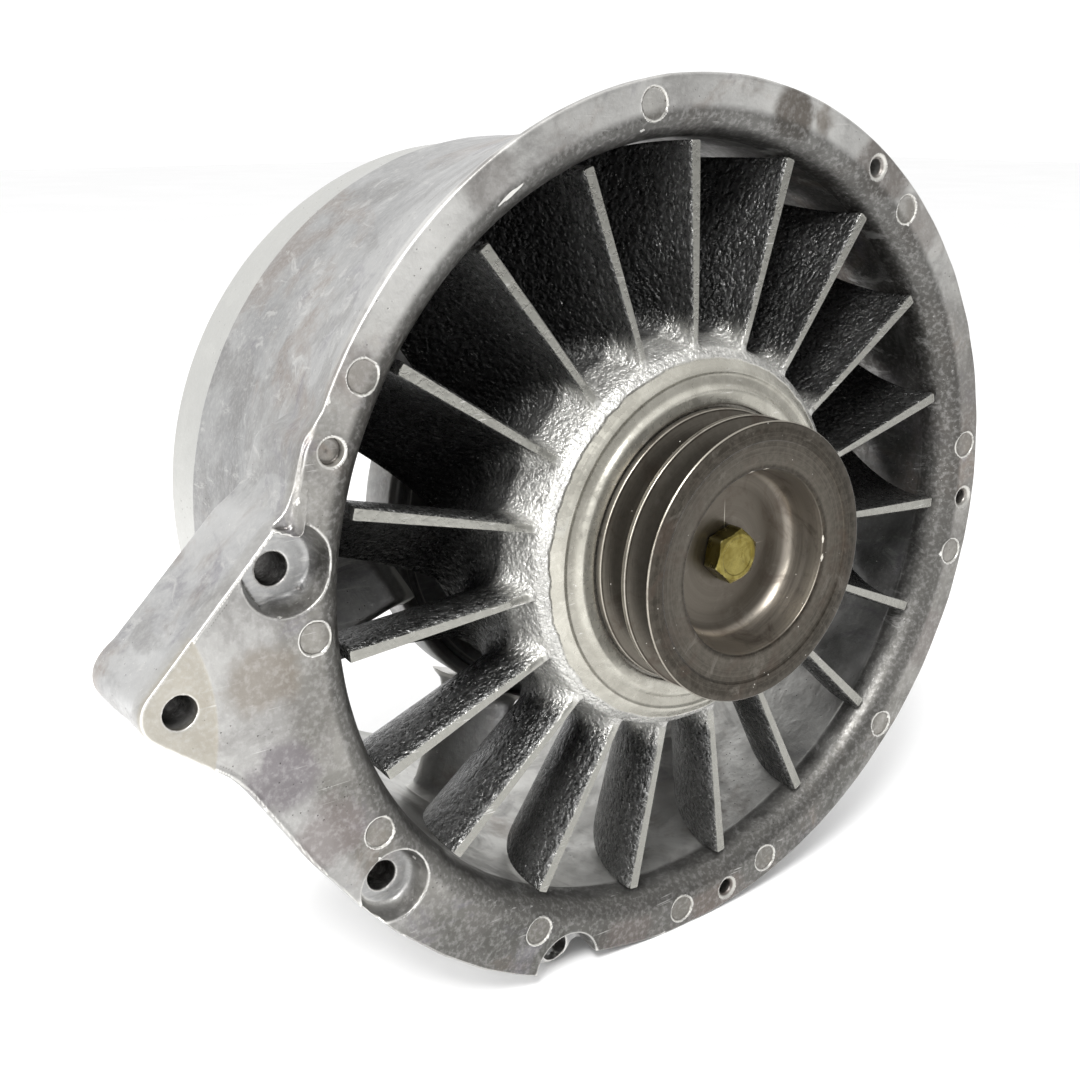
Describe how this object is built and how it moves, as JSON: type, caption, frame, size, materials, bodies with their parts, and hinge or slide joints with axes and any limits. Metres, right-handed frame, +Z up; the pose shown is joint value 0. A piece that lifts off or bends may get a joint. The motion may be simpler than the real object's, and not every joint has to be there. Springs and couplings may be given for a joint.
{
  "type": "axial cooling blower",
  "caption": "Belt-driven axial cooling blower: cast duct with a bolting lug, bladed impeller behind a V-belt pulley, and fixed guide vanes.",
  "frame": {"origin": "on the rotor's axis, in the plane of the duct's rear end, at the middle of the rear cap's flat face", "axes": "+Y along the rotor's axis, the way the air leaves; the pulley points to -Y; +Z up; the bolting lug is at -X"},
  "size_m": [0.4008, 0.2032, 0.35],
  "materials": {
    "cast_aluminium": "raw die-cast, stained",
    "impeller_aluminium": "rough cast",
    "turned_iron": "turned",
    "yellow_zinc": "yellow zinc plated",
    "steel": "ground",
    "cage_bronze": "pressed",
    "rubber": "matte",
    "gasket_paper": "matte fibre"
  },
  "bodies": {
    "housing": {"fan_housing": "cast_aluminium", "guide_vane_hub": "cast_aluminium", "front_bearing_outer_race": "steel", "rear_bearing_outer_race": "steel", "outer_spacer": "steel", "front_shaft_seal": "rubber", "bearing_retaining_ring": "steel", "rear_gasket": "gasket_paper", "rear_cap": "cast_aluminium", "rear_cap_screw_1": "yellow_zinc", "rear_cap_screw_2": "yellow_zinc", "rear_cap_screw_3": "yellow_zinc", "rear_cap_screw_4": "yellow_zinc"},
    "rotor": {"impeller": "impeller_aluminium", "drive_pulley": "turned_iron", "pulley_bolt": "yellow_zinc", "fan_shaft": "steel", "hub_key": "steel", "front_bearing_inner_race": "steel", "rear_bearing_inner_race": "steel", "inner_spacer": "steel", "lock_washer": "steel", "shaft_lock_nut": "steel"},
    "front_cage": {"front_bearing_cage": "cage_bronze", "front_bearing_ball_1": "steel", "front_bearing_ball_2": "steel", "front_bearing_ball_3": "steel", "front_bearing_ball_4": "steel", "front_bearing_ball_5": "steel", "front_bearing_ball_6": "steel", "front_bearing_ball_7": "steel", "front_bearing_ball_8": "steel"},
    "rear_cage": {"rear_bearing_cage": "cage_bronze", "rear_bearing_ball_1": "steel", "rear_bearing_ball_2": "steel", "rear_bearing_ball_3": "steel", "rear_bearing_ball_4": "steel", "rear_bearing_ball_5": "steel", "rear_bearing_ball_6": "steel", "rear_bearing_ball_7": "steel", "rear_bearing_ball_8": "steel"}
  },
  "joints": [
    {"name": "rotor_spin", "type": "hinge", "parent": "housing", "child": "rotor", "pos_m": [0, -0.168, 0], "axis": [0, 1, 0], "continuous": true},
    {"name": "front_cage_spin", "type": "hinge", "parent": "housing", "child": "front_cage", "pos_m": [0, -0.1395, 0], "axis": [0, 1, 0], "continuous": true},
    {"name": "rear_cage_spin", "type": "hinge", "parent": "housing", "child": "rear_cage", "pos_m": [0, -0.0285, 0], "axis": [0, 1, 0], "continuous": true}
  ],
  "couplings": [
    {"joint": "front_cage_spin", "follows": "rotor_spin", "ratio": 0.3835},
    {"joint": "rear_cage_spin", "follows": "rotor_spin", "ratio": 0.3835}
  ]
}
